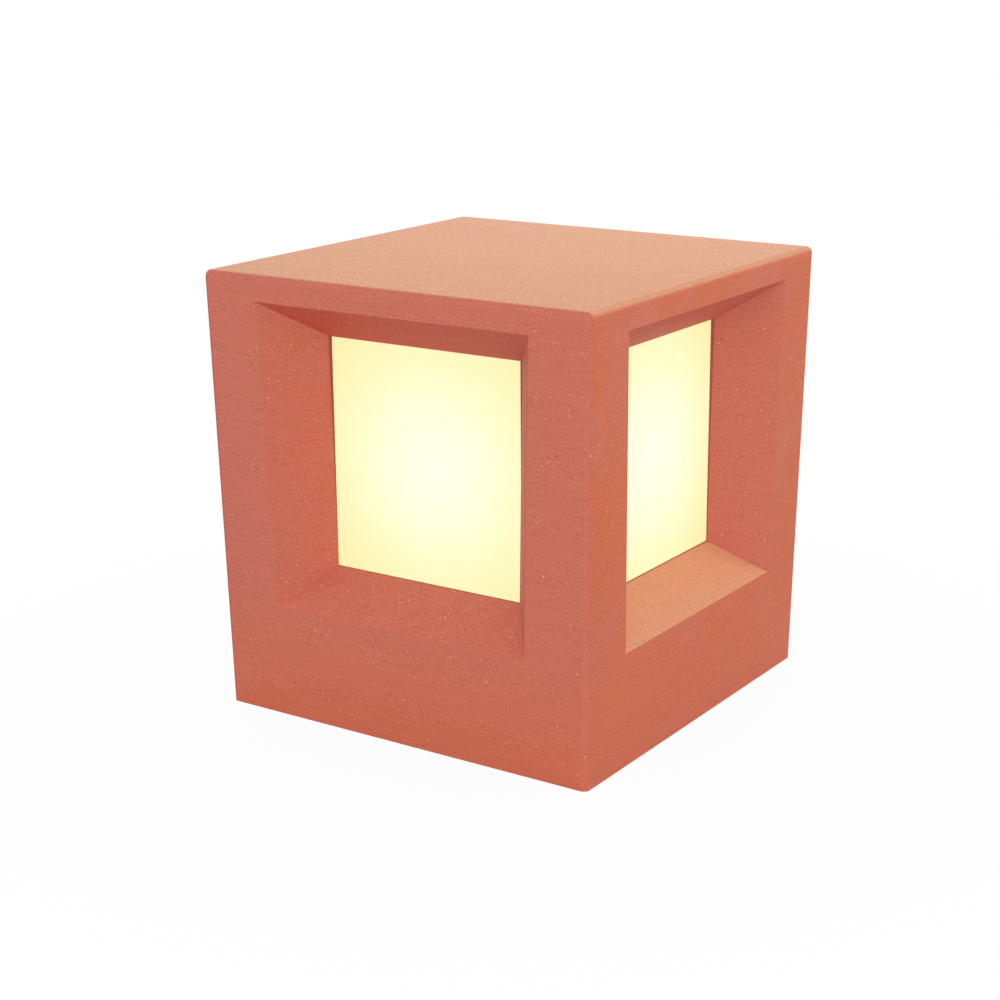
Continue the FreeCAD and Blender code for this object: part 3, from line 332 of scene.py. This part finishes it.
# ------------------------------------------------------------------ cable gland and vent
# The gland hangs in the plate's chamber and the vent is screwed in beside it. Both are moulded in black
# polyamide, which has a fine spark-eroded texture and a soft sheen.
black_polyamide = grained("moulded_black_polyamide", ("#171717", "#1f1f1f"), 0.8, 0.03, Roughness=0.48)
dress(black_polyamide, "gland_body", "gland_nut", "gland_locknut", "vent_plug", "vent_nut")

# ------------------------------------------------------------------ gear tray
# Tray folded from rolled aluminium sheet, on four turned standoffs of zinc-plated steel. The sheet is bright
# with a fine rolled grain, and the zinc has a bluish tone.
rolled_sheet = grained("rolled_aluminium_sheet", ("#b9b9bb", "#c3c3c5"), 2.0, 0.01, Metallic=1.0,
                       Roughness=0.4)
dress(rolled_sheet, "gear_tray")
zinc_plate = grained("zinc_plated_steel", ("#b0b3b8", "#c0c3c8"), 0.7, 0.01, Metallic=1.0, Roughness=0.35)
dress(zinc_plate, "tray_standoffs")
dress(stainless, "tray_screws", "sleeve_screws")

# ------------------------------------------------------------------ light source
# Anodised aluminium extrusion with a board on each side, screwed on, and a moulded nylon cap on top. The
# boards have a glossy white solder mask, and the chips are domed with yellow phosphor silicone.
anodised = grained("anodised_aluminium_extrusion", ("#bdbdc0", "#c6c6c8"), 1.2, 0.01, Metallic=1.0,
                   Roughness=0.38)
dress(anodised, "led_column")
solder_mask = grained("white_solder_mask", ("#eeeeea", "#f4f4f1"), 0.9, 0.01, Roughness=0.35)
dress(solder_mask, "led_board_front", "led_board_right", "led_board_back", "led_board_left")
phosphor = grained("phosphor_silicone", ("#e8cf6a", "#f0da7c"), 0.3, 0.02, Roughness=0.4)
dress(phosphor, "led_chips")
white_nylon = grained("moulded_white_nylon", ("#e2e2de", "#e9e9e6"), 1.0, 0.02, Roughness=0.5)
dress(white_nylon, "column_cap", "board_connectors")
dress(stainless, "column_screws", "board_screws")

# ------------------------------------------------------------------ driver
# Case and lid of the driver, moulded in light grey polycarbonate and screwed to the base plate by two feet.
# Its eroded texture leaves a soft, even sheen.
grey_case = grained("moulded_grey_polycarbonate", ("#d6d6d4", "#dedddb"), 1.0, 0.03, Roughness=0.5)
dress(grey_case, "driver_case", "driver_lid")
dress(stainless, "driver_screws")

# ------------------------------------------------------------------ wiring and earth
# White nylon terminal block, leads with PVC or silicone insulation, and a turned brass earth stud with its
# nut and tag. Extruded insulation has a slight gloss, and brass a warm yellow one.
dress(white_nylon, "terminal_block")
dress(zinc_plate, "terminal_screws", "earth_washer")
brass = grained("turned_brass", ("#b99a58", "#c6a865"), 0.7, 0.01, Metallic=1.0, Roughness=0.35)
dress(brass, "earth_stud", "earth_nut", "earth_tag")
brown_pvc = grained("brown_pvc_insulation", ("#4d2b1a", "#573120"), 0.8, 0.01, Roughness=0.45)
dress(brown_pvc, "mains_leads")
green_pvc = grained("green_pvc_insulation", ("#5b8a2b", "#659632"), 0.8, 0.01, Roughness=0.45)
dress(green_pvc, "earth_lead")
white_silicone = grained("white_silicone_insulation", ("#e0e0dd", "#e8e8e6"), 0.8, 0.01, Roughness=0.5)
dress(white_silicone, "feed_leads", "link_leads")

# ------------------------------------------------------------------ floor, backdrop and lamps
# A plain white floor and white surroundings. The light comes from a soft sky and from large soft lamps
# behind and in front of the cube; the camera sees the floor as plain white with a faint contact shadow.
FLOOR_HALF = 6.0
FLOOR_DROP = 0.1 * MM
FLOOR_SHOWS = 0.045
SHADOW_FULL = 0.1
SHADOW_REACH = 0.35
SKY = 0.72
WHITE = (1, 1, 1, 1)


def seen_white(tree, surface):
    """Plain white for the camera; near the cube a share of the lit surface is left in."""
    place = add(tree, "TexCoord").outputs["Object"]
    away = add(tree, "VectorMath", {0: place}, operation="LENGTH").outputs["Value"]
    white = add(tree, "MapRange", {"Value": away, "From Min": SHADOW_FULL, "From Max": SHADOW_REACH,
                                   "To Min": 1 - FLOOR_SHOWS}).outputs[0]
    much = add(tree, "Math", {0: add(tree, "LightPath").outputs["Is Camera Ray"], 1: white},
               operation="MULTIPLY").outputs[0]
    plain = add(tree, "Emission", {"Color": WHITE, "Strength": 1.0}).outputs[0]
    return add(tree, "MixShader", {0: much, 1: surface, 2: plain}).outputs[0]


paper, paper_tree, paper_shader = material("matte_white_paper", Roughness=0.9, Base_Color=linear("#d4d4d4"))
paper_output = paper_tree.get_output_node("ALL")
paper_tree.links.new(seen_white(paper_tree, paper_shader.outputs[0]), paper_output.inputs["Surface"])

corners = [(x * FLOOR_HALF, y * FLOOR_HALF, -FLOOR_DROP) for x, y in ((-1, -1), (1, -1), (1, 1), (-1, 1))]
floor_mesh = bpy.data.meshes.new("floor")
floor_mesh.from_pydata(corners, [], [(0, 1, 2, 3)])
floor_mesh.materials.append(paper)
floor = bpy.data.objects.new("floor", floor_mesh)
scene.collection.objects.link(floor)

world = bpy.data.worlds.new("white_studio")
scene.world = world
world.use_nodes = True
studio = world.node_tree
studio.nodes.clear()
sky = add(studio, "Background", {"Color": WHITE, "Strength": SKY}).outputs[0]
backdrop = add(studio, "Background", {"Color": WHITE, "Strength": 1.0}).outputs[0]
paths = add(studio, "LightPath")
mixed = add(studio, "MixShader", {0: paths.outputs["Is Camera Ray"], 1: sky, 2: backdrop}).outputs[0]
add(studio, "OutputWorld", {"Surface": mixed})


def soft_lamp(name, place, side, power, colour):
    """Square soft lamp that looks at the middle of the cube."""
    lamp = bpy.data.objects.new(name, bpy.data.lights.new(name, "AREA"))
    lamp.data.shape = "SQUARE"
    lamp.data.size = side
    lamp.data.energy = power
    lamp.data.color = linear(colour)[:3]
    lamp.location = place
    lamp.rotation_euler = (AIM - Vector(place)).to_track_quat("-Z", "Y").to_euler()
    scene.collection.objects.link(lamp)


soft_lamp("back_lamp", (-1.3, 2.0, 0.8), 1.4, 12.0, "#fff4dc")
soft_lamp("front_lamp", (1.0, -2.0, 0.6), 1.8, 19.0, "#fffcf6")
soft_lamp("right_lamp", (1.3, 1.5, 1.0), 1.0, 11.0, "#fff0d0")
